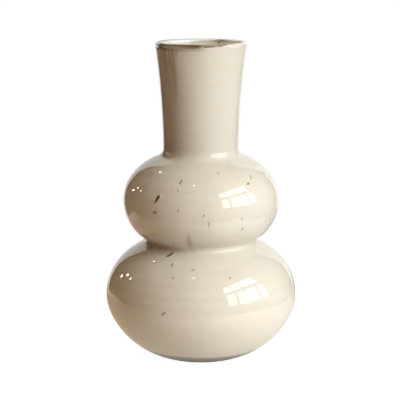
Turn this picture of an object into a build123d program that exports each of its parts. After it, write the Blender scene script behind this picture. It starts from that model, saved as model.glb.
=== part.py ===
import math
import os

from build123d import *

# Sizes are in millimetres and angles in degrees. The vase's axis is Z, its foot stands on Z = 0 and its
# front looks along -Y.

# Outer form, from the lip down to the foot
height = 300.0
rim_radius = 43.7
neck_radius = 35.8
neck_root_fillet = 8.7
upper_shoulder_rise = 43.9
upper_bulb_radius = 74.6
upper_flank_rise = 38.4
waist_radius = 49.8
waist_fillet = 2.8
lower_shoulder_rise = 53.4
lower_bulb_radius = 91.9
lower_flank_rise = 57.4
foot_radius = 44.4
foot_rounding = 3.0

# Fullness of each quarter of a bulb: the radius and the turn of the round cheek next to the widest ring, as
# shares of those of the single arc that would span the quarter
upper_shoulder_shares = (0.89, 0.44)
upper_flank_shares = (1.02, 0.80)
lower_shoulder_shares = (0.93, 0.68)
lower_flank_shares = (0.70, 0.29)

# Glass layers: clear outside, cream inside, clear alone at the lip and under the floor. The lining stands on
# the casing's floor, and the clearance keeps its round faces apart from the casing's.
casing_wall = 2.4
lining_wall = 1.6
layer_clearance = 0.05
lip_depth = 3.6
lip_flat = 0.3
base_wall = 6.5
floor_fillet = 15.0
hollow_radius = 30.0
hollow_depth = 2.0
overrun = 10.0

# Brown flecks: the size of the longest one, how deep its floor and top lie in the cream wall, and the size
# of the three sorts as shares of the longest. A shard's corners are shares of its length and width.
fleck_length = 5.0
fleck_width = 2.0
fleck_depth = 0.9
fleck_sink = 0.15
shard_shares = ((-0.5, -0.1), (-0.15, -0.5), (0.35, -0.35), (0.5, 0.15), (0.05, 0.5), (-0.35, 0.3))
large_size_share = 1.0
medium_size_share = 0.7
small_size_share = 0.45

# Places of the flecks on the front: the share of the way up the cream wall, the bearing to the right of the
# front, and the lean from upright
large_fleck_shares = ((0.373, -30, 35), (0.561, -34, 20))
medium_fleck_shares = (
    (0.613, -17, 10),
    (0.526, -35, 75),
    (0.501, 6, 0),
    (0.616, 49, 30),
    (0.338, -23, 5),
    (0.203, -22, 50),
)
small_fleck_shares = (
    (0.589, -18, 0),
    (0.537, -16, 40),
    (0.525, 2, 20),
    (0.599, 42, 60),
    (0.641, 17, 15),
    (0.510, 31, 0),
    (0.481, 33, 25),
    (0.492, 58, 10),
    (0.298, -19, 0),
    (0.325, -6, 80),
    (0.298, 20, 30),
)
# The front's scatter is repeated on the other sides, turned by a bearing and mirrored where the sign is -1
scatter_turns = ((0, 1), (122, -1), (236, 1))

# Heights and walls that follow from the sizes above
lower_ring_height = lower_flank_rise
waist_height = lower_ring_height + lower_shoulder_rise
upper_ring_height = waist_height + upper_flank_rise
neck_root_height = upper_ring_height + upper_shoulder_rise
past_lip = height + overrun
lining_top = height - lip_depth - layer_clearance
lining_inset = casing_wall + layer_clearance
wall = casing_wall + lining_wall
lip_rounding = (wall - lip_flat) / 2

up = (0, 1)
down = (0, -1)
outwards = (1, 0)
start_middle_end_shares = (0, 0.5, 1)


def bulb_quarter(ring, end, shares):
    """Draws a quarter of a bulb: a round cheek from the widest ring, then a tangent arc to the end."""
    radius_share, turn_share = shares
    across = ring[0] - end[0]
    rise = end[1] - ring[1]
    whole_radius = (across**2 + rise**2) / (2 * across)
    whole_turn = 2 * math.degrees(math.atan2(across, abs(rise)))
    heading = up if rise > 0 else down
    turn_sign = 1 if rise > 0 else -1
    cheek = JernArc(ring, heading, whole_radius * radius_share, turn_sign * whole_turn * turn_share)
    TangentArc(cheek @ 1, end, tangent=cheek % 1)


def neck_at(level):
    """Gives the neck's outer radius at a height: one long arc, upright at the root, flared at the rim."""
    length = height - neck_root_height
    flare = rim_radius - neck_radius
    bend_radius = (length**2 + flare**2) / (2 * flare)
    return neck_radius + bend_radius - math.sqrt(bend_radius**2 - (level - neck_root_height) ** 2)


# Half section of the blown form. It runs past the lip, so that the wall's inner lines reach the lip too.
with BuildSketch(Plane.XZ) as blown_form:
    lower_ring = (lower_bulb_radius, lower_ring_height)
    upper_ring = (upper_bulb_radius, upper_ring_height)
    waist = (waist_radius, waist_height)
    neck_root = (neck_radius, neck_root_height)
    foot = (foot_radius, 0)
    neck_end = (neck_at(past_lip), past_lip)
    with BuildLine():
        bulb_quarter(lower_ring, foot, lower_flank_shares)
        bulb_quarter(lower_ring, waist, lower_shoulder_shares)
        bulb_quarter(upper_ring, waist, upper_flank_shares)
        bulb_quarter(upper_ring, neck_root, upper_shoulder_shares)
        TangentArc(neck_root, neck_end, tangent=up)
        Polyline(neck_end, (0, past_lip), (0, 0), foot)
    make_face()
    fillet(blown_form.vertices().sort_by_distance(waist)[0], waist_fillet)
    fillet(blown_form.vertices().sort_by_distance(neck_root)[0], neck_root_fillet)

wall_arcs = blown_form.sketch_local.edges().filter_by(GeomType.CIRCLE)


def wall_line(inset):
    """Draws the wall's outer line again, deeper in the glass by inset: each arc about its own centre."""
    for arc in wall_arcs:
        centre = arc.arc_center
        points = [arc @ share for share in start_middle_end_shares]
        is_hollow = centre.X > points[1].X
        depth = inset if is_hollow else -inset
        spread = (arc.radius + depth) / arc.radius
        ThreePointArc(*(centre + (point - centre) * spread for point in points))


def space_inside(inset, low, high):
    """Returns the half section of what lies deeper than inset under the outer face, between two heights."""
    with BuildSketch(Plane.XZ) as space:
        with BuildLine() as outline:
            wall_line(inset)
            bottom, *_, top = outline.vertices().sort_by(Axis.Y)
            Polyline(top, (0, top.Y), (0, bottom.Y), bottom)
        make_face()
        with Locations((0, low)):
            Rectangle(lower_bulb_radius, high - low, align=Align.MIN, mode=Mode.INTERSECT)
    return space.sketch_local


def rounded_floor(space, radius):
    """Rounds the corner between the floor and the wall of a half section."""
    with BuildSketch(Plane.XZ) as rounded:
        add(space)
        corner = rounded.vertices().group_by(Axis.Y)[0].sort_by(Axis.X)[-1]
        fillet(corner, radius)
    return rounded.sketch_local


# Half sections of the spaces that bound the two layers
whole_space = space_inside(0, 0, height)
casing_space = rounded_floor(space_inside(casing_wall, base_wall, height - lip_depth), floor_fillet)
lining_space = rounded_floor(space_inside(lining_inset, base_wall, lining_top), floor_fillet)
water_space = rounded_floor(space_inside(wall, base_wall + lining_wall, past_lip), floor_fillet)

# Cream vessel as blown, before it is rolled in the flecks
with BuildPart() as plain_lining:
    with BuildSketch(Plane.XZ):
        add(lining_space)
        add(water_space, mode=Mode.SUBTRACT)
    revolve(axis=Axis.Z)

cream_wall = Wire(lining_space.edges().filter_by(GeomType.CIRCLE))


def fleck_place(way_share, bearing, lean):
    """Gives the plane that touches the cream vessel at a place, with its X axis along the fleck."""
    point = cream_wall.position_at(way_share)
    heading = cream_wall.tangent_at(way_share)
    turn = math.radians(bearing)
    tilt = math.radians(lean)
    away = Vector(math.sin(turn), -math.cos(turn), 0)
    aside = Vector(math.cos(turn), math.sin(turn), 0)
    upright = Vector(0, 0, 1)
    upwards = away * heading.X + upright * heading.Y
    normal = away * heading.Y - upright * heading.X
    along = upwards * math.cos(tilt) + aside * math.sin(tilt)
    return Plane(away * point.X + upright * point.Y, x_dir=along, z_dir=normal)


def draw_shards(size_share, front_shares):
    """Draws one sort of shard on the floor of its pocket, on every side of the vase."""
    length = fleck_length * size_share
    width = fleck_width * size_share
    places = [
        fleck_place(way_share, turn + side * bearing, side * lean).offset(-fleck_depth)
        for turn, side in scatter_turns
        for way_share, bearing, lean in front_shares
    ]
    with BuildSketch(*places) as shards:
        Polygon(*((length * along, width * across) for along, across in shard_shares), align=None)
    return shards.sketch


all_shards = [
    draw_shards(large_size_share, large_fleck_shares),
    draw_shards(medium_size_share, medium_fleck_shares),
    draw_shards(small_size_share, small_fleck_shares),
]

# Brown flecks: shards pressed into the cream vessel until their flat tops lie just under its face
with BuildPart() as brown_flecks:
    for shards in all_shards:
        extrude(shards, amount=fleck_depth - fleck_sink)

# Cream lining, with the pocket that each shard pressed into it
with BuildPart() as cream_lining:
    add(plain_lining.part)
    for shards in all_shards:
        extrude(shards, amount=2 * fleck_depth, mode=Mode.SUBTRACT)

# Clear casing over the lining: it closes over the lining's top edge as a round lip, and its thick base has
# a ground hollow, so that the vase stands on a ring
with BuildPart() as clear_casing:
    with BuildSketch(Plane.XZ) as casing_section:
        add(whole_space)
        add(casing_space, mode=Mode.SUBTRACT)
        add(water_space, mode=Mode.SUBTRACT)
        with BuildLine():
            TangentArc((0, hollow_depth), (hollow_radius, 0), tangent=outwards)
            Polyline((hollow_radius, 0), (0, 0), (0, hollow_depth))
        make_face(mode=Mode.SUBTRACT)
        fillet(casing_section.vertices().group_by(Axis.Y)[-1], lip_rounding)
        fillet(casing_section.vertices().sort_by_distance(foot)[0], foot_rounding)
    revolve(axis=Axis.Z)

clear_casing.part.label = "clear_casing"
cream_lining.part.label = "cream_lining"
brown_flecks.part.label = "brown_flecks"

os.makedirs("parts", exist_ok=True)
export_step(clear_casing.part, "parts/clear_casing.step")
export_step(cream_lining.part, "parts/cream_lining.step")
export_step(brown_flecks.part, "parts/brown_flecks.step")
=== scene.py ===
# %% [markdown]
# # A double gourd vase of cased glass
# The vase is mouth-blown in layers. A bubble of opaque cream glass is rolled in chips of brown glass,
# dipped in clear glass, and blown and swung into two bulbs under a flared neck. The clear glass carries
# the reflections and the cream under it carries the colour, so each layer is a piece of its own here. The
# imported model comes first: every piece below is placed in its frame.

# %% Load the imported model
import math

import bmesh
import bpy
import numpy as np
from mathutils import Matrix, Vector


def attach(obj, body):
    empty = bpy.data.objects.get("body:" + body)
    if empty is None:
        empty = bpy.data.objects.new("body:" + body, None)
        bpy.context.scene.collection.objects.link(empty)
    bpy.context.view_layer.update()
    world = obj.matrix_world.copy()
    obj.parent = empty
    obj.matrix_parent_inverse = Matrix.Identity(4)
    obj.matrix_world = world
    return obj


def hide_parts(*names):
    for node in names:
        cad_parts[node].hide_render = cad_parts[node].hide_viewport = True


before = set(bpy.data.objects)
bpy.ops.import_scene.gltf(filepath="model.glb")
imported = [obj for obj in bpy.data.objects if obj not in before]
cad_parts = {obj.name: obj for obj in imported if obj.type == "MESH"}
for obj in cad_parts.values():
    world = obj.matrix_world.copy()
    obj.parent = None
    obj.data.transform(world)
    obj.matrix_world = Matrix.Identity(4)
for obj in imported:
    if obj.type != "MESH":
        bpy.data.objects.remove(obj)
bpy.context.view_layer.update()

# %% [markdown]
# ## The blown form
# A glassblower shapes such a vase against gravity and a wet wooden block, so each bulb is a run of smooth
# curves with no straight line in it. A spline could follow them, but circular arcs that meet without a
# corner have exact centres. A face deeper in the glass is then the same set of arcs with other radii, and
# the layers keep an even thickness.

# %% Points of the half section, in millimetres
MM = 0.001
HEIGHT = 300.0
RIM_RADIUS = 43.7
NECK_RADIUS = 35.8

# Each point: its distance from the axis and its height
FOOT = np.array((44.4, 0.0))
LOWER_RING = np.array((91.9, 57.4))
WAIST = np.array((49.8, 110.8))
UPPER_RING = np.array((74.6, 149.2))
NECK_ROOT = np.array((NECK_RADIUS, 193.1))
print("the bulbs are", float(2 * LOWER_RING[0]), "and", float(2 * UPPER_RING[0]), "mm wide")

# %% [markdown]
# Each quarter of a bulb has a full cheek beside the widest ring, then a longer arc. Two shares say how
# full it is: the cheek's radius and turn, as shares of those of one arc that would span the quarter.

# %% Quarters of the two bulbs
FLANK_SHARES = (0.70, 0.29)
SHOULDER_SHARES = (0.93, 0.68)
HIGH_FLANK_SHARES = (1.02, 0.80)
HIGH_SHOULDER_SHARES = (0.89, 0.44)


def bulb_quarter(ring, end, shares):
    """Gives the two arcs of a quarter of a bulb: (centre, radius) of each, and the point where they meet."""
    radius_share, turn_share = shares
    across = ring[0] - end[0]
    rise = end[1] - ring[1]
    radius = radius_share * (across**2 + rise**2) / (2 * across)
    turn = turn_share * 2 * math.atan2(across, abs(rise))
    centre = ring - (radius, 0)
    outward = np.array((math.cos(turn), math.copysign(math.sin(turn), rise)))
    joint = centre + radius * outward
    gap = end - joint
    tail_radius = gap @ gap / (-2 * outward @ gap)
    return (centre, radius), (joint - outward * tail_radius, tail_radius), joint


flank, flank_tail, flank_joint = bulb_quarter(LOWER_RING, FOOT, FLANK_SHARES)
shoulder, shoulder_tail, shoulder_joint = bulb_quarter(LOWER_RING, WAIST, SHOULDER_SHARES)
high_flank, high_flank_tail, high_flank_joint = bulb_quarter(UPPER_RING, WAIST, HIGH_FLANK_SHARES)
high_shoulder, high_shoulder_tail, high_shoulder_joint = bulb_quarter(
    UPPER_RING, NECK_ROOT, HIGH_SHOULDER_SHARES
)
print("radius of the lowest cheek in mm:", round(float(flank[1]), 1))

# %% [markdown]
# The neck is one long arc, upright at its root and flared at the rim. In the waist and at the neck's root
# two arcs meet in a hollow, and soft glass draws itself round there. A ball that touches both arcs makes
# the same fillet: its centre lies one radius away from each.

# %% Neck and fillets
WAIST_FILLET = 2.8
NECK_ROOT_FILLET = 8.7

neck_length = HEIGHT - NECK_ROOT[1]
neck_flare = RIM_RADIUS - NECK_RADIUS
neck_bend = (neck_length**2 + neck_flare**2) / (2 * neck_flare)
neck = NECK_ROOT + (neck_bend, 0), neck_bend


def meeting_points(circle_a, growth_a, circle_b, growth_b):
    """Gives the two points where two circles cross after each has grown."""
    centre_a, radius_a = circle_a[0], circle_a[1] + growth_a
    centre_b, radius_b = circle_b[0], circle_b[1] + growth_b
    apart = np.linalg.norm(centre_b - centre_a)
    along = (centre_b - centre_a) / apart
    reach = (radius_a**2 - radius_b**2 + apart**2) / (2 * apart)
    aside = math.sqrt(radius_a**2 - reach**2) * np.array((-along[1], along[0]))
    return centre_a + reach * along + aside, centre_a + reach * along - aside


def toward(centre, radius, point):
    """Gives the place on a circle that faces a point."""
    return centre + radius * (point - centre) / np.linalg.norm(point - centre)


waist_meetings = meeting_points(shoulder_tail, WAIST_FILLET, high_flank_tail, WAIST_FILLET)
waist_centre = max(waist_meetings, key=lambda point: point[0])
root_meetings = meeting_points(high_shoulder_tail, NECK_ROOT_FILLET, neck, -NECK_ROOT_FILLET)
root_centre = max(root_meetings, key=lambda point: point[1])
print("centres of the fillets in mm:", waist_centre.round(1), root_centre.round(1))

# %% Arcs of the outer face, from the foot to the rim
waist_start = toward(*shoulder_tail, waist_centre)
waist_end = toward(*high_flank_tail, waist_centre)
root_start = toward(*high_shoulder_tail, root_centre)
root_end = toward(*neck, root_centre)

# Each row: the circle, where its arc starts and ends, and 1 where the circle's centre is outside the glass
wall_arcs = [
    (flank_tail, FOOT, flank_joint, -1),
    (flank, flank_joint, LOWER_RING, -1),
    (shoulder, LOWER_RING, shoulder_joint, -1),
    (shoulder_tail, shoulder_joint, waist_start, -1),
    ((waist_centre, WAIST_FILLET), waist_start, waist_end, 1),
    (high_flank_tail, waist_end, high_flank_joint, -1),
    (high_flank, high_flank_joint, UPPER_RING, -1),
    (high_shoulder, UPPER_RING, high_shoulder_joint, -1),
    (high_shoulder_tail, high_shoulder_joint, root_start, -1),
    ((root_centre, NECK_ROOT_FILLET), root_start, root_end, 1),
    (neck, root_end, np.array((RIM_RADIUS, HEIGHT)), 1),
]
print("radii of the wall's arcs in mm:", [round(float(circle[1]), 1) for circle, *_ in wall_arcs])

# %% [markdown]
# ## Faces at any depth in the glass
# The outer face, both faces of the cream and the water side follow the same arcs at different depths. One
# function gives each of them as a line of points: a rounded corner at the floor, then every arc in turn
# up to a height.

# %% Points along an arc
ARC_STEP = 3.0
TURN_STEP = math.radians(4.0)


def arc_points(centre, radius, start, end):
    """Gives points along an arc between two angles, close enough to look round."""
    turn = abs(end - start)
    count = max(2, math.ceil(max(turn / TURN_STEP, radius * turn / ARC_STEP)) + 1)
    angles = np.linspace(start, end, count)
    return centre + radius * np.stack((np.cos(angles), np.sin(angles)), axis=-1)


def angle_of(point, centre):
    """Gives the angle of a point seen from a centre, from 0 at the outside round by way of the top."""
    return math.atan2(point[1] - centre[1], point[0] - centre[0])


print("points on an arc are at most", ARC_STEP, "mm apart")

# %% Lines of the wall
CASING_WALL = 2.4
LINING_WALL = 1.6
WALL = CASING_WALL + LINING_WALL
BASE_WALL = 6.5
FLOOR_FILLET = 15.0
FOOT_ROUNDING = 3.0


def wall_line(inset, level, corner, top):
    """Gives the face that lies inset under the outer face: a floor corner, then the wall up to a height."""
    tail_centre, tail_radius = flank_tail
    corner_height = level + corner
    reach = tail_radius - inset - corner
    corner_out = tail_centre[0] + math.sqrt(reach**2 - (corner_height - tail_centre[1]) ** 2)
    corner_centre = np.array((corner_out, corner_height))
    start = angle_of(corner_centre, tail_centre)
    runs = [arc_points(corner_centre, corner, -math.pi / 2, start)]
    for index, ((centre, radius), first, last, side) in enumerate(wall_arcs):
        depth_radius = radius + side * inset
        begin = start if index == 0 else angle_of(first, centre)
        end = angle_of(last, centre)
        if index == len(wall_arcs) - 1:
            end = math.pi - math.asin((top - centre[1]) / depth_radius)
        if side > 0:
            begin, end = begin % (2 * math.pi), end % (2 * math.pi)
        runs.append(arc_points(centre, depth_radius, begin, end)[1:])
    return np.concatenate(runs)


outer_face = wall_line(0, 0, FOOT_ROUNDING, HEIGHT - WALL / 2)
water_face = wall_line(WALL, BASE_WALL + LINING_WALL, FLOOR_FILLET, HEIGHT - WALL / 2)
print("points on the outer and the water face:", len(outer_face), len(water_face))

# %% [markdown]
# ## From a line to a vessel
# A blown vessel is turned all the time it is hot, so a lathe is the right way to make its mesh: the half
# section is swept round the axis. A screw modifier sweeps too, but here the bearing and the height of
# every point are known, which later steps need. No hand-blown wall is perfectly round, though. Two slow
# waves, a quarter of a millimetre high together, bend the reflections as real glass does.

# %% Waves of hand work
COLUMNS = 240
WAVE_FULL_RADIUS = 40
WAVE_FULL_HEIGHT = 25
# Each wave: height in millimetres, times round, the rise that turns it by a radian, and its start
HAND_WAVES = ((0.16, 2, 47, 0), (0.08, 3, -29, 1.3))

bearings = np.linspace(0, 2 * math.pi, COLUMNS, endpoint=False)


def hand_wave(radius, height, turn):
    """Gives how far hand work moves the wall in or out at a bearing, in millimetres."""
    wave = 0
    for high, times, rise, start in HAND_WAVES:
        wave = wave + high * np.sin(times * turn + height / rise + start)
    return wave * np.clip(radius / WAVE_FULL_RADIUS, 0, 1) * np.clip(height / WAVE_FULL_HEIGHT, 0, 1)


ring_wave = hand_wave(*LOWER_RING, bearings)
print("hand work moves the widest ring by up to", round(float(np.abs(ring_wave).max()), 2), "mm")


# %% Lathe
def add_object(name, data):
    """Makes an object of a mesh, a lamp or a camera and puts it in the scene."""
    thing = bpy.data.objects.new(name, data)
    bpy.context.scene.collection.objects.link(thing)
    return thing


def lathe_faces(count):
    """Gives the faces between rings of points, then those that close the first and the last ring."""
    here = np.arange(COLUMNS)
    beside = np.roll(here, -1)
    quads = [
        np.stack((row + here, row + beside, row + COLUMNS + beside, row + COLUMNS + here), axis=-1)
        for row in range(0, (count - 1) * COLUMNS, COLUMNS)
    ]
    last_row = (count - 1) * COLUMNS
    first_pole = count * COLUMNS
    first_cap = np.stack((np.full(COLUMNS, first_pole), beside, here), axis=-1)
    last_cap = np.stack((last_row + here, last_row + beside, np.full(COLUMNS, first_pole + 1)), axis=-1)
    return np.concatenate(quads).tolist() + first_cap.tolist() + last_cap.tolist()


def lathe(name, outline, lift):
    """Makes a closed mesh of a half section that starts and ends on the axis; lift raises its rings."""
    ring_radius = outline[1:-1, 0, None]
    ring_height = outline[1:-1, 1, None]
    radius = ring_radius + hand_wave(ring_radius, ring_height, bearings)
    height = ring_height + lift[1:-1]
    rings = np.stack((radius * np.sin(bearings), -radius * np.cos(bearings), height), axis=-1)
    poles = [(0, 0, outline[0, 1]), (0, 0, outline[-1, 1])]
    points = np.concatenate((rings.reshape(-1, 3), poles)) * MM
    mesh = bpy.data.meshes.new(name)
    mesh.from_pydata(points.tolist(), [], lathe_faces(len(rings)))
    mesh.shade_smooth()
    print(name, "has", len(mesh.vertices), "points and", len(mesh.polygons), "faces")
    return add_object(name, mesh)


def dress(piece, node):
    """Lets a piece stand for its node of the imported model."""
    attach(piece, "root")
    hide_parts(node)


print("points in each ring:", COLUMNS)

# %% [markdown]
# ## Where the cream ends
# The cream bubble is cut from the iron before the lip is finished, and the clear glass closes over its
# cut edge. That edge is never level: it stands a little higher on the right and wanders as it goes round.
# Both layers share it, so it is worked out once for every bearing.

# %% The cream's uneven top edge
EDGE_DEPTH = 3.4
EDGE_HEIGHT = HEIGHT - EDGE_DEPTH
EDGE_SHIFT = 0.5
EDGE_TILT = 1.6
EDGE_STEEPNESS = 1.6
EDGE_TURN = 0.17
EDGE_WANDER = 0.35
EDGE_FADE = 30

rng = np.random.default_rng(7)
edge_lift = EDGE_SHIFT + EDGE_TILT * np.tanh(EDGE_STEEPNESS * np.sin(bearings - EDGE_TURN))
for waves in range(3, 10):
    edge_lift += rng.normal(0, EDGE_WANDER / waves) * np.sin(waves * bearings + rng.uniform(0, 2 * math.pi))


def lift_near_edge(outline, is_inner):
    """Gives the lift of each ring: the whole of it at the cream's edge, fading out down the neck."""
    height = outline[:, 1, None]
    below = np.clip((height - (EDGE_HEIGHT - EDGE_FADE)) / EDGE_FADE, 0, 1)
    above = np.clip((HEIGHT - height) / (HEIGHT - EDGE_HEIGHT), 0, 1)
    return np.where(is_inner[:, None], below * below * above, 0) * edge_lift[None, :]


edge_depths = (EDGE_DEPTH - edge_lift).round(1)
print("the cream ends", edge_depths.min(), "to", edge_depths.max(), "mm below the lip")

# %% [markdown]
# ## The clear casing
# The clear glass has a thick base with a ground hollow under it, the double gourd wall, a lip that melts
# into a round bead, and a pocket that the lining fills. The half section runs along the outside first and
# comes back along the pocket, so that one lathe makes it all.

# %% Outside of the casing
HOLLOW_RADIUS = 30.0
HOLLOW_DEPTH = 2.0
STANDING_STEPS = 6

hollow_bend = (HOLLOW_RADIUS**2 + HOLLOW_DEPTH**2) / (2 * HOLLOW_DEPTH)
hollow_turn = math.asin(HOLLOW_RADIUS / hollow_bend)
hollow_centre = np.array((0, HOLLOW_DEPTH - hollow_bend))
hollow = arc_points(hollow_centre, hollow_bend, math.pi / 2, math.pi / 2 - hollow_turn)
standing_ring = np.linspace((HOLLOW_RADIUS, 0), outer_face[0], STANDING_STEPS)[1:-1]
lip_middle = (outer_face[-1] + water_face[-1]) / 2
lip_half = np.linalg.norm(outer_face[-1] - water_face[-1]) / 2
lip = arc_points(lip_middle, lip_half, 0, math.pi)[1:-1]
casing_outer = np.concatenate((hollow, standing_ring, outer_face, lip))
print("the lip's bead is", round(float(2 * lip_half), 1), "mm thick")

# %% Pocket for the lining, and the whole casing
NECK_POINTS = 40
FLOOR_STEPS = 8
EDGE_ROUND = LINING_WALL / 2
cream_top = EDGE_HEIGHT - EDGE_ROUND


def water_radius(height):
    """Gives the radius of the water face at a height in the neck."""
    neck_line = water_face[-NECK_POINTS:]
    return np.interp(height, neck_line[:, 1], neck_line[:, 0])


inner_lip = water_face[water_face[:, 1] > cream_top][::-1]
pocket_top = np.array([(water_radius(cream_top), cream_top)])
pocket_face = wall_line(CASING_WALL, BASE_WALL, FLOOR_FILLET, cream_top)
pocket_floor = np.linspace(pocket_face[0], (0, BASE_WALL), FLOOR_STEPS)[1:]
casing_inner = np.concatenate((inner_lip, pocket_top, pocket_face[::-1], pocket_floor))
casing_outline = np.concatenate((casing_outer, casing_inner))
casing_is_inner = np.arange(len(casing_outline)) >= len(casing_outer)
casing = lathe("blown_casing", casing_outline, lift_near_edge(casing_outline, casing_is_inner))
dress(casing, "clear_casing")

# %% [markdown]
# ## The cream lining
# The cream vessel stands on the floor of the pocket, and its cut edge is round. In real cased glass the
# two layers are melted together, so its outer face reaches a little way into the clear glass: a gap, or
# two faces in the same place, would show as air or as dark spots.

# %% Lining
OVERLAP = 0.15

lining_face = wall_line(CASING_WALL - OVERLAP, BASE_WALL - OVERLAP, FLOOR_FILLET, cream_top)
cream_water_face = wall_line(WALL, BASE_WALL + LINING_WALL, FLOOR_FILLET, cream_top)
edge_middle = (lining_face[-1] + cream_water_face[-1]) / 2
edge_half = np.linalg.norm(lining_face[-1] - cream_water_face[-1]) / 2
edge_round = arc_points(edge_middle, edge_half, 0, math.pi)[1:-1]
floor_under = np.linspace((0, BASE_WALL - OVERLAP), lining_face[0], FLOOR_STEPS)[:-1]
floor_over = np.linspace(cream_water_face[0], (0, BASE_WALL + LINING_WALL), FLOOR_STEPS)[1:]
lining_outer = np.concatenate((floor_under, lining_face))
lining_inner = np.concatenate((edge_round, cream_water_face[::-1], floor_over))
lining_outline = np.concatenate((lining_outer, lining_inner))
lining_lift = lift_near_edge(lining_outline, np.full(len(lining_outline), True))
lining = lathe("blown_lining", lining_outline, lining_lift)
dress(lining, "cream_lining")

# %% Faces of the lining that meet the water
# The two caps come last in the mesh: the one under the floor, then the one that meets the water
water_side = np.zeros(len(lining.data.polygons), dtype=np.int32)
water_side[(len(lining_outer) + len(edge_round) - 1) * COLUMNS :] = 1
water_side[-2 * COLUMNS : -COLUMNS] = 0
print("faces of the lining on the water side:", int(water_side.sum()))

# %% [markdown]
# ## Brown washes and painted shade
# Not all of the brown glass stays in chips. Some of it melts and smears: in runs that drip from the lip on
# the left, in a thin veil below them, in a broad veil on the left of the neck, as an amber tint in the
# waist and a streak over it. Painted shade is mixed in: along the cream's cut edge on the left and at the
# back, in the broad veil, which lies on the shaded side, and in the waist's crease. Each wash is a soft
# spot on the wall. A painted picture could hold them, but the mesh is fine enough for its points to keep
# how strong the washes are.

# %% Washes on the cream
# Each wash: bearing in degrees, height, half width and half length in millimetres, and strength
# Painted shade along the cream's cut edge: darker under the lip on the left and on the shaded far wall at
# the back
painted_edge_shade = [
    (-80, 296.6, 16, 2.4, 0.60),
    (-50, 296.6, 14, 2.4, 0.60),
    (-22, 296.6, 11, 2.0, 0.55),
    (-3, 296.6, 7, 1.6, 0.40),
    (150, 296.6, 8, 1.6, 0.75),
]
lip_runs = [
    (-72, 291, 1.5, 7, 0.22),
    (-63, 289, 1.7, 9, 0.34),
    (-55, 291, 1.6, 7, 0.34),
    (-46, 287, 1.8, 10, 0.36),
    (-39, 292, 1.5, 5, 0.30),
    (-33, 293, 1.4, 4, 0.30),
]
# A thin brown veil below the runs, then a broad one on the neck's shaded left, partly brown glass and partly
# painted shade
veils_and_painted_shade = [(-50, 285, 12, 12, 0.10), (-64, 232, 17, 38, 0.26)]
# Amber of glass pooled in the waist's fold with painted shade of the crease, strongest on the shaded left,
# then the amber streak over the waist
waist_amber_and_painted_shade = [(-62, 111, 34, 4.0, 0.60), (118, 111, 30, 4.0, 0.30), (-10, 122, 2.2, 8, 0.45)]

# Fine runs in the veil lie by chance, each value between two limits
FINE_RUN_COUNT = 34
fine_run_limits = ((-80, -36), (256, 292), (1.2, 2.2), (10, 26), (0.04, 0.12))
fine_runs = [tuple(rng.uniform(*limits) for limits in fine_run_limits) for _ in range(FINE_RUN_COUNT)]
# All the soft spots: brown washes and painted shade together
cream_washes_and_painted_shade = painted_edge_shade + lip_runs + veils_and_painted_shade + waist_amber_and_painted_shade + fine_runs
print("washes on the cream:", len(cream_washes_and_painted_shade))


# %% Washes and painted shade on the points of the lining
def soft_spots(washes, outline):
    """Adds up the washes on the rings of a half section, at every bearing."""
    radius = outline[1:-1, 0, None]
    height = outline[1:-1, 1, None]
    total = np.zeros((len(radius), COLUMNS))
    for bearing, level, half_width, half_length, strength in washes:
        turn = (bearings - math.radians(bearing) + math.pi) % (2 * math.pi) - math.pi
        across = radius * turn / half_width
        along = (height - level) / half_length
        total += strength * np.exp(-(across**2) - along**2)
    return np.clip(total, 0, 1)


def keep_on_points(piece, name, values):
    """Keeps a value for each point of a lathed piece, and 0 for its two poles."""
    point_values = np.concatenate((values.ravel(), (0, 0)))
    piece.data.attributes.new(name, "FLOAT", "POINT").data.foreach_set("value", point_values)


lining_height = lining_outline[1:-1, 1, None] + lining_lift[1:-1]
lining_wash_and_painted_shade = soft_spots(cream_washes_and_painted_shade, lining_outline)
keep_on_points(lining, "edge_depth", EDGE_HEIGHT + edge_lift - lining_height)
# The brown washes and the painted shade are kept on the points together
keep_on_points(lining, "wash_and_painted_shade", lining_wash_and_painted_shade)
print("strongest wash on the cream:", round(float(lining_wash_and_painted_shade.max()), 2))

# %% [markdown]
# Inside the lip a painted shade lies on the clear glass itself: a brown film on the left and a dab at the
# back, for the dim room and the shaded far wall seen through the bead. It tints what is seen through the
# bead, so the casing keeps it, on the inner half of the lip alone.

# %% Painted shade inside the lip
painted_lip_shade_spots = (
    (-84, 297, 18, 9, 0.70),
    (-50, 297, 14, 9, 0.95),
    (-22, 297, 11, 9, 0.95),
    (-3, 297, 7, 9, 0.75),
    (150, 299, 7, 2.5, 0.80),
)
lip_row = np.arange(1, len(casing_outline) - 1) - len(casing_outer)
on_inner_lip = (lip_row >= -len(lip) // 2) & (lip_row <= len(inner_lip))
keep_on_points(casing, "painted_lip_shade", soft_spots(painted_lip_shade_spots, casing_outline) * on_inner_lip[:, None])
print("rings of the lip that carry the film:", int(on_inner_lip.sum()))

# %% [markdown]
# ## Brown flecks
# The brown chips are broken glass, a few millimetres long. In the heat their corners melt round, and the
# gather presses them into the cream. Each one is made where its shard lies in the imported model, with the
# same lean. The shards are found first: each is an island of points, and its longest way gives the lean.


# %% Places of the shards
def loose_islands(mesh):
    """Gives the points of each separate solid in a mesh, sorted so that every run gives the same."""
    solids = bmesh.new()
    solids.from_mesh(mesh)
    bmesh.ops.remove_doubles(solids, verts=solids.verts, dist=1e-6)
    waiting = set(solids.verts)
    islands = []
    while waiting:
        island = [waiting.pop()]
        for vertex in island:
            for edge in vertex.link_edges:
                other = edge.other_vert(vertex)
                if other in waiting:
                    waiting.remove(other)
                    island.append(other)
        islands.append(np.array(sorted(tuple(vertex.co) for vertex in island)))
    solids.free()
    return islands


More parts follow.
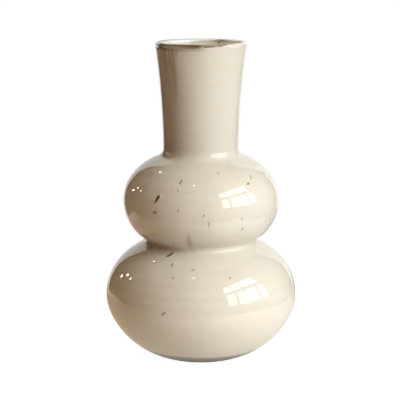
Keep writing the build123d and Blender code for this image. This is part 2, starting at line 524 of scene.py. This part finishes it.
def fleck_place(points):
    """Gives a shard's place on the cream, the way out of the glass, and its length and width as vectors."""
    middle = points.mean(axis=0)
    bearing = math.atan2(middle[0], -middle[1])
    away = np.array((math.sin(bearing), -math.cos(bearing), 0))
    section = np.array((middle @ away, middle[2])) / MM
    nearest = int(np.argmin(np.linalg.norm(lining_face - section, axis=1)))
    slope = lining_face[nearest + 1] - lining_face[nearest - 1]
    slope /= np.linalg.norm(slope)
    radius, height = lining_face[nearest] + slope * ((section - lining_face[nearest]) @ slope)
    radius += hand_wave(radius, height, bearing)
    outward = away * slope[1] - np.array((0, 0, slope[0]))
    flat = points - middle
    flat -= np.outer(flat @ outward, outward)
    along = np.linalg.svd(flat)[2][0]
    across = np.cross(outward, along)
    place = (away * radius + np.array((0, 0, height))) * MM
    return place, outward, along * np.ptp(flat @ along), across * np.ptp(flat @ across)


places = [fleck_place(points) for points in loose_islands(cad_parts["brown_flecks"].data)]
places.sort(key=lambda place: (round(place[0][2], 5), round(place[0][0], 5)))
longest = max(np.linalg.norm(along) for _, _, along, _ in places)
print("shards found:", len(places), "longest in mm:", round(float(longest / MM), 1))

# %% [markdown]
# Some chips are thick and nearly black, others are thin and let the cream show through. The ones that the
# photograph shows have a tone of their own each, and the rest get one by chance.

# %% Tones of the flecks
TONE_REACH = 5
HIDDEN_THICK = (0.4, 1)
HIDDEN_WARM = (0.2, 1)

# Flecks that show: bearing in degrees, height in millimetres, thickness, and warmth of the brown
front_tones = (
    (-17, 176, 0.45, 0.3),
    (-18, 169, 0.25, 0.3),
    (-34, 161, 0.90, 0.6),
    (-35, 149, 0.60, 0.6),
    (-16, 153, 0.25, 0.3),
    (2, 148, 0.45, 0.3),
    (6, 140, 0.30, 0.4),
    (42, 172, 0.95, 0.6),
    (17, 182, 0.28, 0.3),
    (49, 177, 0.28, 0.3),
    (31, 143, 0.32, 0.4),
    (33, 134, 0.50, 0.6),
    (58, 137, 0.45, 0.5),
    (-30, 105, 0.80, 0.2),
    (-23, 98, 0.32, 0.2),
    (-19, 90, 0.35, 0.3),
    (-6, 96, 0.45, 0.9),
    (20, 90, 0.30, 0.3),
    (-22, 59, 0.50, 1.0),
    (153, 296, 1.00, 0.2),
)


def fleck_tone(place):
    """Gives the thickness and the warmth of a fleck: seen ones from the table, hidden ones by chance."""
    bearing = math.degrees(math.atan2(place[0], -place[1]))
    height = place[2] / MM
    for seen_bearing, seen_height, thick, warm in front_tones:
        if abs(bearing - seen_bearing) < TONE_REACH and abs(height - seen_height) < TONE_REACH:
            return thick, warm
    return rng.uniform(*HIDDEN_THICK), rng.uniform(*HIDDEN_WARM)


print("flecks with a tone of their own:", len(front_tones))

# %% [markdown]
# A melted chip is a thin lens that has spread a little and has a wandering outline. A squashed ball of
# points makes it: rings round its short axis, pushed in and out by two slow waves. Its points keep how
# near the thin rim they are, how thick the chip is and how warm its brown is.

# %% One melted chip
CHIP_TURNS = 24
CHIP_RINGS = 12
CHIP_HALF_THICKNESS = 0.35 * MM
CHIP_PROUD = 0.25 * MM
CHIP_SPREAD = 0.95
CHIP_WIDENING = 1.15
# Waves of the outline: times round, and height as a share of the chip's size
CHIP_LOBES = ((2, 0.14), (3, 0.10))

chips = bmesh.new()
thin_layer = chips.verts.layers.float.new("thin")
thick_layer = chips.verts.layers.float.new("thick")
warm_layer = chips.verts.layers.float.new("warm")


def add_chip(place, outward, along, across):
    """Adds one melted chip: a lens with a wandering outline that lies along the wall."""
    centre = place - outward * (CHIP_HALF_THICKNESS - CHIP_PROUD)
    starts = rng.uniform(0, 2 * math.pi, len(CHIP_LOBES))
    thick, warm = fleck_tone(place)
    rows = []
    for ring in range(CHIP_RINGS + 1):
        tip = math.pi * ring / CHIP_RINGS
        row = []
        for turn in np.linspace(0, 2 * math.pi, CHIP_TURNS, endpoint=False):
            lobes = 1.0
            for (times, share), start in zip(CHIP_LOBES, starts):
                lobes += share * math.sin(times * turn + start)
            reach = CHIP_SPREAD * lobes * math.sin(tip)
            flat = along * reach * math.cos(turn) + across * CHIP_WIDENING * reach * math.sin(turn)
            point = chips.verts.new(centre + flat + outward * CHIP_HALF_THICKNESS * math.cos(tip))
            point[thin_layer] = math.sin(tip)
            point[thick_layer] = thick
            point[warm_layer] = warm
            row.append(point)
            if ring in (0, CHIP_RINGS):
                break
        rows.append(row)
    for index in range(CHIP_TURNS):
        after = (index + 1) % CHIP_TURNS
        chips.faces.new((rows[0][0], rows[1][index], rows[1][after]))
        for upper, under in zip(rows[1:-2], rows[2:-1]):
            chips.faces.new((upper[index], under[index], under[after], upper[after]))
        chips.faces.new((rows[-1][0], rows[-2][after], rows[-2][index]))


for place in places:
    add_chip(*place)
print("points of all chips in the wall:", len(chips.verts))

# %% [markdown]
# One chip strayed. It sits on the far inside of the neck, just below the lip, and stands a little proud
# of the water side. Its way out of the glass is toward the axis.

# %% The stray chip, and all flecks as one piece
STRAY_BEARING = math.radians(153)
STRAY_HEIGHT = 296.3
STRAY_PROUD = 0.2
STRAY_LENGTH = 1.7
STRAY_WIDTH = 1.5

away = np.array((math.sin(STRAY_BEARING), -math.cos(STRAY_BEARING), 0))
aside = np.array((math.cos(STRAY_BEARING), math.sin(STRAY_BEARING), 0))
upright = np.array((0, 0, 1))
stray_place = away * (water_radius(STRAY_HEIGHT) - STRAY_PROUD) + upright * STRAY_HEIGHT
add_chip(stray_place * MM, -away, upright * STRAY_LENGTH * MM, aside * STRAY_WIDTH * MM)
bmesh.ops.recalc_face_normals(chips, faces=chips.faces)
fleck_mesh = bpy.data.meshes.new("melted_flecks")
chips.to_mesh(fleck_mesh)
chips.free()
fleck_mesh.shade_smooth()
flecks = add_object("melted_flecks", fleck_mesh)
dress(flecks, "brown_flecks")
print("flecks have", len(fleck_mesh.polygons), "faces")

# %% [markdown]
# ## Materials
# All three are soda-lime glass. Its index is about 1.5, and a fire-polished face is as smooth as glass
# gets, so the reflections stay sharp. What differs is what the light meets inside.

# %% Colour and node helpers
GLASS_IOR = 1.5
COLOUR = {"data_type": "RGBA"}
SMOOTH = {"interpolation_type": "SMOOTHSTEP"}


def linear(hex_colour):
    """Turns an sRGB hex colour into the linear values that shaders use."""
    parts = [int(hex_colour[place : place + 2], 16) / 255 for place in (1, 3, 5)]
    return (*(part / 12.92 if part <= 0.04045 else ((part + 0.055) / 1.055) ** 2.4 for part in parts), 1)


def add_node(tree, kind, settings, inputs):
    """Adds a node to a tree, with its settings, and gives each input a value or a link."""
    node = tree.nodes.new(kind)
    for name, value in settings.items():
        setattr(node, name, value)
    for name, value in inputs.items():
        if isinstance(value, bpy.types.NodeSocket):
            tree.links.new(value, node.inputs[name])
        else:
            node.inputs[name].default_value = value
    return node


def new_tree(material_name):
    """Makes a material with an empty node tree."""
    material = bpy.data.materials.new(material_name)
    material.use_nodes = True
    material.node_tree.nodes.clear()
    return material, material.node_tree


print("middle grey in linear light:", round(linear("#808080")[0], 3))

# %% [markdown]
# Clear glass bends what lies behind it and mirrors the room. Iron in the sand takes a little light on the
# way through, blue most of all, so thick glass looks a warm grey. The painted shade inside the lip takes
# much more. Light that reaches the cream must not be lost, so to a shadow ray the glass is a clear pane.

# %% Clear soda-lime glass, fire-polished
clear_glass, tree = new_tree("clear soda-lime glass, fire-polished")
painted_lip_shade = add_node(tree, "ShaderNodeAttribute", {"attribute_name": "painted_lip_shade"}, {})
# Painted shade: the glass turns dark brown where the lip carries it
tint = add_node(
    tree,
    "ShaderNodeMix",
    COLOUR,
    {"Factor": painted_lip_shade.outputs["Fac"], "A": linear("#f6f7f1"), "B": linear("#4a3c26")},
)
body = add_node(
    tree,
    "ShaderNodeBsdfPrincipled",
    {},
    {"Base Color": tint.outputs["Result"], "Roughness": 0.0, "IOR": GLASS_IOR, "Transmission Weight": 1.0},
)
pane = add_node(tree, "ShaderNodeBsdfTransparent", {}, {"Color": linear("#f6f7f1")})
path = add_node(tree, "ShaderNodeLightPath", {}, {})
surface = add_node(
    tree,
    "ShaderNodeMixShader",
    {},
    {0: path.outputs["Is Shadow Ray"], 1: body.outputs["BSDF"], 2: pane.outputs["BSDF"]},
)
iron = add_node(tree, "ShaderNodeVolumeAbsorption", {}, {"Color": linear("#b8a888"), "Density": 16.0})
add_node(
    tree, "ShaderNodeOutputMaterial", {}, {"Surface": surface.outputs[0], "Volume": iron.outputs["Volume"]}
)
casing.data.materials.append(clear_glass)
print("material:", clear_glass.name)

# %% [markdown]
# The cream is an opal glass: fine crystals in it scatter the light, so it is opaque and even. It has slow
# clouds, about 30 mm across, where the gather was less well mixed, and faint rings, about 5 mm apart,
# from the drawing out of the form.

# %% Clouds and rings of the cream
CLOUD_SIZE = 30 * MM
RING_SPACING = 5 * MM
RING_SHARE = 0.4


def mottled_cream(tree, place, height):
    """Gives the colour of the cream glass, with its clouds and rings."""
    clouds = add_node(
        tree, "ShaderNodeTexNoise", {}, {"Vector": place, "Scale": 1 / CLOUD_SIZE, "Detail": 3.0}
    )
    rings = add_node(
        tree,
        "ShaderNodeTexNoise",
        {"noise_dimensions": "1D"},
        {"W": height, "Scale": 1 / RING_SPACING, "Detail": 2.0},
    )
    mottle = add_node(
        tree,
        "ShaderNodeMix",
        {},
        {"Factor": RING_SHARE, "A": clouds.outputs["Fac"], "B": rings.outputs["Fac"]},
    )
    cream = add_node(tree, "ShaderNodeValToRGB", {}, {"Fac": mottle.outputs["Result"]})
    cream.color_ramp.elements[0].position = 0.3
    cream.color_ramp.elements[0].color = linear("#f0ebe1")
    cream.color_ramp.elements[1].position = 0.7
    cream.color_ramp.elements[1].color = linear("#f5f2ec")
    return cream.outputs["Color"]


print("clouds and rings in metres:", CLOUD_SIZE, RING_SPACING)

# %% [markdown]
# Light and shade are painted on the cream from end to end. Near its cut edge it is paler, a painted
# highlight below the lip, and up the neck it is a little darker, a painted shade.

# %% Painted highlight at the edge and painted shade on the neck
EDGE_HIGHLIGHT_SHARE = 0.6
# Depths below the cream's edge in millimetres between which the painted highlight fades
EDGE_HIGHLIGHT_DEPTHS = (1.0, 6.0)
# Heights in metres over which the painted shade of the neck comes in
NECK_SHADE_HEIGHTS = (165 * MM, 215 * MM)


def painted_light_and_shade(tree, colour, height):
    """Paints a highlight on the cream at its cut edge and shade on the neck."""
    depth = add_node(tree, "ShaderNodeAttribute", {"attribute_name": "edge_depth"}, {})
    edge_highlight_share = add_node(
        tree,
        "ShaderNodeMapRange",
        SMOOTH,
        {
            "Value": depth.outputs["Fac"],
            "From Min": EDGE_HIGHLIGHT_DEPTHS[0],
            "From Max": EDGE_HIGHLIGHT_DEPTHS[1],
            "To Min": EDGE_HIGHLIGHT_SHARE,
            "To Max": 0.0,
        },
    )
    # Painted highlight: the cream is paler near its cut edge
    edge_highlight = add_node(
        tree,
        "ShaderNodeMix",
        COLOUR,
        {"Factor": edge_highlight_share.outputs["Result"], "A": colour, "B": linear("#f8f5ee")},
    )
    neck_shade_share = add_node(
        tree,
        "ShaderNodeMapRange",
        SMOOTH,
        {"Value": height, "From Min": NECK_SHADE_HEIGHTS[0], "From Max": NECK_SHADE_HEIGHTS[1]},
    )
    # Painted shade: the neck is a little darker
    shaded_neck = add_node(
        tree,
        "ShaderNodeMix",
        {"data_type": "RGBA", "blend_type": "MULTIPLY"},
        {"Factor": neck_shade_share.outputs["Result"], "A": edge_highlight.outputs["Result"], "B": linear("#f8f7f6")},
    )
    return shaded_neck.outputs["Result"]


print("depths of the pale edge in mm:", EDGE_HIGHLIGHT_DEPTHS)

# %% [markdown]
# Two marks come last. A thin grey line at the very bottom is partly the thick clear foot greying what is
# seen through it and partly painted shade where no light gets under the vase, so the cream's low corner
# has that grey. The brown washes and painted shade lie over everything.

# %% Grey and painted shade at the foot, and washes
# Heights in metres over which the foot's grey and painted shade fade
FOOT_GREY_AND_SHADE_HEIGHTS = (10.5 * MM, 13 * MM)


def stained_and_shaded_cream(tree, colour, height, foot_grey_and_shade):
    """Adds the foot's grey and painted shade, as strong as the share given, then the brown washes and
    painted shade.
    """
    foot_grey_and_shade_share = add_node(
        tree,
        "ShaderNodeMapRange",
        SMOOTH,
        {
            "Value": height,
            "From Min": FOOT_GREY_AND_SHADE_HEIGHTS[0],
            "From Max": FOOT_GREY_AND_SHADE_HEIGHTS[1],
            "To Min": foot_grey_and_shade,
            "To Max": 0.0,
        },
    )
    foot_greyed_and_shaded = add_node(
        tree,
        "ShaderNodeMix",
        COLOUR,
        {"Factor": foot_grey_and_shade_share.outputs["Result"], "A": colour, "B": linear("#b4b0a2")},
    )
    wash_and_painted_shade = add_node(tree, "ShaderNodeAttribute", {"attribute_name": "wash_and_painted_shade"}, {})
    washed_and_shaded = add_node(
        tree,
        "ShaderNodeMix",
        COLOUR,
        {"Factor": wash_and_painted_shade.outputs["Fac"], "A": foot_greyed_and_shaded.outputs["Result"], "B": linear("#8a6c42")},
    )
    return washed_and_shaded.outputs["Result"]


print("heights of the foot's grey in metres:", FOOT_GREY_AND_SHADE_HEIGHTS)

# %% [markdown]
# Under the clear glass the cream has no gloss of its own, because no air meets it there. On the water
# side it is fire-polished, and a faint painted light, an emission, stands in for the daylight that opal
# glass lets through the wall.

# %% Cream opal glass
WATER_SIDE_PAINTED_LIGHT = 0.12


def cream_glass(name, specular, foot_grey_and_shade, painted_inner_light):
    """Makes the cream glass, with or without a gloss, the foot's grey and painted shade, and a painted inner
    light.
    """
    material, tree = new_tree(name)
    place = add_node(tree, "ShaderNodeTexCoord", {}, {}).outputs["Object"]
    height = add_node(tree, "ShaderNodeSeparateXYZ", {}, {"Vector": place}).outputs["Z"]
    colour = painted_light_and_shade(tree, mottled_cream(tree, place, height), height)
    shader = add_node(
        tree,
        "ShaderNodeBsdfPrincipled",
        {},
        {
            "Base Color": stained_and_shaded_cream(tree, colour, height, foot_grey_and_shade),
            "Roughness": 0.08,
            "IOR": GLASS_IOR,
            "Specular IOR Level": specular,
            # Painted light: a faint emission for the daylight through the opal wall
            "Emission Color": linear("#f2e4cc"),
            "Emission Strength": painted_inner_light,
        },
    )
    add_node(tree, "ShaderNodeOutputMaterial", {}, {"Surface": shader.outputs["BSDF"]})
    return material


lining.data.materials.append(cream_glass("cream opal glass under clear glass", 0.0, 1.0, 0.0))
lining.data.materials.append(cream_glass("cream opal glass, fire-polished", 0.5, 0.0, WATER_SIDE_PAINTED_LIGHT))
lining.data.polygons.foreach_set("material_index", water_side)
print("materials of the lining:", [material.name for material in lining.data.materials])

# %% [markdown]
# The brown chips hold iron and sulphur, as amber bottle glass does. Thick ones look nearly black, thin
# ones grey or honey-coloured, and at its thin rim a chip lets the cream show through.

# %% Dark amber glass
brown_glass, tree = new_tree("dark amber glass chip")
warm = add_node(tree, "ShaderNodeAttribute", {"attribute_name": "warm"}, {})
thick = add_node(tree, "ShaderNodeAttribute", {"attribute_name": "thick"}, {})
thin = add_node(tree, "ShaderNodeAttribute", {"attribute_name": "thin"}, {})
brown = add_node(tree, "ShaderNodeValToRGB", {}, {"Fac": warm.outputs["Fac"]})
brown.color_ramp.elements[0].position = 0.3
brown.color_ramp.elements[0].color = linear("#4b3b2c")
brown.color_ramp.elements[1].position = 0.9
brown.color_ramp.elements[1].color = linear("#7a5126")
middle_share = add_node(
    tree,
    "ShaderNodeMapRange",
    SMOOTH,
    {"Value": thin.outputs["Fac"], "From Min": 0.55, "To Min": 1.0, "To Max": 0.0},
)
cover = add_node(
    tree,
    "ShaderNodeMath",
    {"operation": "MULTIPLY"},
    {0: middle_share.outputs["Result"], 1: thick.outputs["Fac"]},
)
amber = add_node(
    tree,
    "ShaderNodeMix",
    COLOUR,
    {"Factor": cover.outputs[0], "A": linear("#f0e9de"), "B": brown.outputs["Color"]},
)
shader = add_node(
    tree,
    "ShaderNodeBsdfPrincipled",
    {},
    {"Base Color": amber.outputs["Result"], "Roughness": 0.2, "IOR": GLASS_IOR, "Specular IOR Level": 0.0},
)
add_node(tree, "ShaderNodeOutputMaterial", {}, {"Surface": shader.outputs["BSDF"]})
flecks.data.materials.append(brown_glass)
print("material:", brown_glass.name)

# %% [markdown]
# ## The room
# Glass shows the whole room as reflections, so the room was traced back from what the photograph shows in
# the glass: a window on the right of the camera, a pale wall on that side, brown furniture on the left,
# and a dim, warm rest. Plain glowing panels are enough for that, and the camera itself doesn't see the
# walls.

# %% Panels that glow
ROOM_DISTANCE = 2.1
FLOOR_HEIGHT = -1.2
CEILING_HEIGHT = 2.0
WALL_STEPS = 24


def add_panel(name, points, faces, material):
    """Adds a stage panel of a flat material."""
    mesh = bpy.data.meshes.new(name)
    mesh.from_pydata(points, [], faces)
    mesh.materials.append(material)
    panel = add_object(name, mesh)
    return panel


def glowing_material(name, hex_colour, glow):
    """Makes the material of a room panel, which sends out an even light."""
    material, tree = new_tree(name)
    light = add_node(tree, "ShaderNodeEmission", {}, {"Color": linear(hex_colour), "Strength": glow})
    add_node(tree, "ShaderNodeOutputMaterial", {}, {"Surface": light.outputs[0]})
    return material


def room_point(azimuth, distance, height):
    """Gives a point of the room: azimuth 0 is toward the camera, positive to the right."""
    turn = math.radians(azimuth)
    return (distance * math.sin(turn), -distance * math.cos(turn), height)


def curved_wall(name, start, end, material):
    """Adds a curved panel round the vase, unseen by the camera."""
    points = [
        room_point(azimuth, ROOM_DISTANCE, height)
        for azimuth in np.linspace(start, end, WALL_STEPS + 1)
        for height in (FLOOR_HEIGHT, CEILING_HEIGHT)
    ]
    faces = [(2 * step, 2 * step + 2, 2 * step + 3, 2 * step + 1) for step in range(WALL_STEPS)]
    wall = add_panel(name, points, faces, material)
    wall.visible_camera = False


print("metres from the vase to the walls:", ROOM_DISTANCE)

# %% [markdown]
# The table is painted white, but the glass mirrors it in uneven light. On the right and in front the
# daylight falls on it. On the left it is warm and shady, darkest near the vase, which stands between it
# and the window. That light and shade are painted into the table's glow, so the tone depends on the place:
# its x and y, and its reach from the vase's axis.

# %% Sunny and shady tones of the table
# Ranges in metres: from front to back, from left to right, and away from the axis
SUNNY_RANGE = (-0.15, 0.25)
RIGHT_RANGE = (-0.20, 0.14)
SHADY_REACH = 0.5
# Tones of the shady side: each at a share of the reach
shady_tones = {0.144: "#806848", 0.24: "#a0825c", 0.38: "#b49874", 0.54: "#a89380", 0.78: "#cabaa6"}

white_table, tree = new_tree("white painted table top")
place = add_node(tree, "ShaderNodeTexCoord", {}, {})
spot = add_node(tree, "ShaderNodeSeparateXYZ", {}, {"Vector": place.outputs["Object"]})
back_share = add_node(
    tree,
    "ShaderNodeMapRange",
    {},
    {"Value": spot.outputs["Y"], "From Min": SUNNY_RANGE[0], "From Max": SUNNY_RANGE[1]},
)
sunny_tone = add_node(
    tree,
    "ShaderNodeMix",
    COLOUR,
    {"Factor": back_share.outputs["Result"], "A": linear("#fffaf2"), "B": linear("#8e8c86")},
)
reach = add_node(tree, "ShaderNodeVectorMath", {"operation": "LENGTH"}, {0: place.outputs["Object"]})
reach_share = add_node(
    tree, "ShaderNodeMapRange", {}, {"Value": reach.outputs["Value"], "From Max": SHADY_REACH}
)
shady_tone = add_node(tree, "ShaderNodeValToRGB", {}, {"Fac": reach_share.outputs["Result"]})
shady_stops = shady_tone.color_ramp.elements
for share, tone in shady_tones.items():
    shady_stops.new(share).color = linear(tone)
shady_stops.remove(shady_stops[-1])
shady_stops.remove(shady_stops[0])
right_share = add_node(
    tree,
    "ShaderNodeMapRange",
    {},
    {"Value": spot.outputs["X"], "From Min": RIGHT_RANGE[0], "From Max": RIGHT_RANGE[1]},
)
table_light_and_shade = add_node(
    tree,
    "ShaderNodeMix",
    COLOUR,
    {
        "Factor": right_share.outputs["Result"],
        "A": shady_tone.outputs["Color"],
        "B": sunny_tone.outputs["Result"],
    },
)
print("shady tones of the table:", len(shady_stops))

# %% [markdown]
# Close round the foot no light gets under the vase, so a painted shadow darkens the table there. The
# camera sees the same table as plain white: a matt face that takes the soft shadow, with a glow that lifts
# it to the white of the wall behind.

# %% Painted shadow round the foot, and the table as the camera sees it
TABLE_GLOW = 1.45
TABLE_WHITE = 0.95
FOOT_SHADE_REACH = (0.046, 0.062)

open_share = add_node(
    tree,
    "ShaderNodeMapRange",
    {},
    {"Value": reach.outputs["Value"], "From Min": FOOT_SHADE_REACH[0], "From Max": FOOT_SHADE_REACH[1]},
)
# Painted shadow: the table is dark round the foot
painted_foot_shadow = add_node(
    tree,
    "ShaderNodeMix",
    COLOUR,
    {"Factor": open_share.outputs["Result"], "A": linear("#63625a"), "B": table_light_and_shade.outputs["Result"]},
)
# The table's glow carries the painted light and shade
painted_table_light = add_node(
    tree, "ShaderNodeEmission", {}, {"Color": painted_foot_shadow.outputs["Result"], "Strength": TABLE_GLOW}
)
matt = add_node(tree, "ShaderNodeBsdfDiffuse", {}, {"Color": linear("#b4c4e0")})
white_glow = add_node(tree, "ShaderNodeEmission", {}, {"Color": linear("#f9faff"), "Strength": TABLE_WHITE})
seen_table = add_node(tree, "ShaderNodeAddShader", {}, {0: matt.outputs[0], 1: white_glow.outputs[0]})
path = add_node(tree, "ShaderNodeLightPath", {}, {})
table_light = add_node(
    tree,
    "ShaderNodeMixShader",
    {},
    {0: path.outputs["Is Camera Ray"], 1: painted_table_light.outputs[0], 2: seen_table.outputs[0]},
)
add_node(tree, "ShaderNodeOutputMaterial", {}, {"Surface": table_light.outputs[0]})
print("material:", white_table.name)

# %% [markdown]
# The table's left edge shows on both bulbs as the line between the table and the dark room. Traced back,
# it runs aslant from the front to the far left, so the table is a quadrangle with round corners.

# %% Table top
TABLE_ROUNDING = 0.08
CORNER_POINTS = 9
# Middles of the corners in metres: right and left at the back, then left and right in front
table_corners = ((0.25, 0.515), (-0.39, 0.17), (-0.165, -0.205), (0.25, -0.185))

table_points = [
    (corner_x + TABLE_ROUNDING * math.cos(turn), corner_y + TABLE_ROUNDING * math.sin(turn), 0)
    for quarter, (corner_x, corner_y) in enumerate(table_corners)
    for turn in np.linspace(0, math.pi / 2, CORNER_POINTS) + quarter * math.pi / 2
]
add_panel("table_top", table_points, [tuple(range(len(table_points)))], white_table)
print("points of the table top:", len(table_points))

# %% [markdown]
# The walls reach from below the table to the ceiling. Behind the vase a gap stays open to the white wall.

# %% Walls and ceiling
CEILING_AZIMUTHS = (-150, 140)
CEILING_POINTS = 25
DIM_GLOW = 0.012
FURNITURE_GLOW = 0.26
PALE_GLOW = 0.12
CEILING_GLOW = 0.28

dim_room = glowing_material("dim warm room", "#ffc080", DIM_GLOW)
brown_room = glowing_material("brown furniture", "#ff9a4c", FURNITURE_GLOW)
pale_room = glowing_material("pale side of the room", "#fff0dc", PALE_GLOW)
dim_ceiling = glowing_material("dim warm ceiling", "#ffe085", CEILING_GLOW)
curved_wall("room_wall_left", -150, -75, dim_room)
curved_wall("furniture", -75, 0, brown_room)
curved_wall("room_wall_right", 0, 146, pale_room)
ceiling_points = [
    room_point(azimuth, ROOM_DISTANCE, CEILING_HEIGHT)
    for azimuth in np.linspace(*CEILING_AZIMUTHS, CEILING_POINTS)
]
ceiling = add_panel("room_ceiling", ceiling_points, [tuple(range(len(ceiling_points)))], dim_ceiling)
ceiling.visible_camera = False
print("the ceiling is", CEILING_HEIGHT, "m above the table")

# %% [markdown]
# The white wall behind is the world itself. The camera, mirrors and clear glass see it as pure white. As
# a source of soft light it is much weaker, or it would flatten the shading of the cream.

# %% White wall behind the vase
WALL_GLOW = 0.12

world = bpy.data.worlds.new("white wall")
bpy.context.scene.world = world
world.use_nodes = True
tree = world.node_tree
tree.nodes.clear()
path = add_node(tree, "ShaderNodeLightPath", {}, {})
seen = add_node(
    tree,
    "ShaderNodeMath",
    {"operation": "MAXIMUM"},
    {0: path.outputs["Is Camera Ray"], 1: path.outputs["Is Glossy Ray"]},
)
seen_through = add_node(
    tree,
    "ShaderNodeMath",
    {"operation": "MAXIMUM"},
    {0: seen.outputs[0], 1: path.outputs["Is Transmission Ray"]},
)
level = add_node(
    tree, "ShaderNodeMapRange", {}, {"Value": seen_through.outputs[0], "To Min": WALL_GLOW}
)
backdrop = add_node(
    tree, "ShaderNodeBackground", {}, {"Color": linear("#ffffff"), "Strength": level.outputs["Result"]}
)
add_node(tree, "ShaderNodeOutputWorld", {}, {"Surface": backdrop.outputs[0]})
print("soft light of the wall:", WALL_GLOW)

# %% [markdown]
# ## Window and lamps
# The window has two rows of panes, and its bars show in the glass, so each pane is a lamp of its own. The
# panes on the right look at a dim yard. They are hidden from matt faces, so they light the cream less than
# the others do and shine just as bright in the gloss.

# %% Panes of the window
ROOM_MIDDLE = 0.15
WINDOW_AZIMUTH = 63.0
WINDOW_DISTANCE = 1.6

# Each pane: its range of azimuth and elevation in degrees, how bright it is, and whether matt faces see it
window_panes = (
    ((32, 43), (4, 28), 5.6, True),
    ((46, 61), (4, 28), 5.6, True),
    ((61, 75), (4, 28), 6.4, False),
    ((78, 87), (4, 28), 6.0, False),
    ((32, 41.5), (33, 45), 8.3, True),
    ((44, 57), (33, 45), 8.3, True),
    ((59.5, 85), (33, 45), 7.0, False),
)


def add_pane(name, azimuths, elevations, radiance, lights_cream):
    """Adds one pane of the window as an area lamp that fills a range of azimuth and elevation."""
    left, right = (math.tan(math.radians(azimuth - WINDOW_AZIMUTH)) for azimuth in azimuths)
    low, high = (math.tan(math.radians(elevation)) for elevation in elevations)
    lamp = bpy.data.lights.new(name, "AREA")
    lamp.shape = "RECTANGLE"
    lamp.size = WINDOW_DISTANCE * (right - left)
    lamp.size_y = WINDOW_DISTANCE * (high - low)
    lamp.energy = radiance * math.pi * lamp.size * lamp.size_y
    lamp.color = linear("#f9faff")[:3]
    pane = add_object(name, lamp)
    pane.visible_diffuse = lights_cream
    ahead = Vector(room_point(WINDOW_AZIMUTH, 1, 0))
    aside = Vector(room_point(WINDOW_AZIMUTH + 90, 1, 0))
    place = ahead * WINDOW_DISTANCE + aside * WINDOW_DISTANCE * (left + right) / 2
    place.z = ROOM_MIDDLE + WINDOW_DISTANCE * (low + high) / 2
    facing = Matrix((aside, (0, 0, 1), ahead)).transposed()
    pane.matrix_world = Matrix.Translation(place) @ facing.to_4x4()
    return lamp.energy


window_watts = [add_pane(f"window_{index}", *pane) for index, pane in enumerate(window_panes)]
print("power of the panes in watts:", [round(watts, 1) for watts in window_watts])

# %% [markdown]
# A few small lamps elsewhere in the room give the bright points on the left of both bulbs and on their
# shoulders. They are round and weak: bright enough to glint in the glass, too dim to show on the cream.

# %% Small lamps
LAMP_RADIUS = 0.036
LAMP_WATTS = 1.2
LAMP_DISTANCE = 1.4
# Each lamp: azimuth and elevation in degrees
lamp_directions = ((-124, 10.5), (-117, 18.5), (-107, 19.5), (-129, 48.5), (-17.5, 64))

for index, (azimuth, elevation) in enumerate(lamp_directions):
    lamp = bpy.data.lights.new(f"room_lamp_{index}", "POINT")
    lamp.energy = LAMP_WATTS
    lamp.color = linear("#ffe9cf")[:3]
    lamp.shadow_soft_size = LAMP_RADIUS
    rise = math.radians(elevation)
    bulb = add_object(f"room_lamp_{index}", lamp)
    bulb.location = room_point(
        azimuth, LAMP_DISTANCE * math.cos(rise), ROOM_MIDDLE + LAMP_DISTANCE * math.sin(rise)
    )
print("small lamps:", len(lamp_directions))

# %% [markdown]
# ## Camera
# The photograph looks down on the vase by about eleven degrees from a little over a metre. The focal
# length follows from how round the mouth looks next to the foot: 1300 pixels for a picture 400 pixels
# wide.

# %% Camera
FRAME_PIXELS = 400
FOCAL_PIXELS = 1300
ASIDE = -0.00096

camera = bpy.data.cameras.new("camera")
camera.sensor_width = 36.0
camera.lens = camera.sensor_width * FOCAL_PIXELS / FRAME_PIXELS
eye = add_object("camera", camera)
eye.location = (ASIDE, -1.2269, 0.3842)
aim = Vector((ASIDE, 0, 0.1485))
eye.rotation_euler = (aim - eye.location).to_track_quat("-Z", "Y").to_euler()
bpy.context.scene.camera = eye
bpy.context.scene.view_settings.view_transform = "Standard"
print("lens in mm:", round(camera.lens, 1))
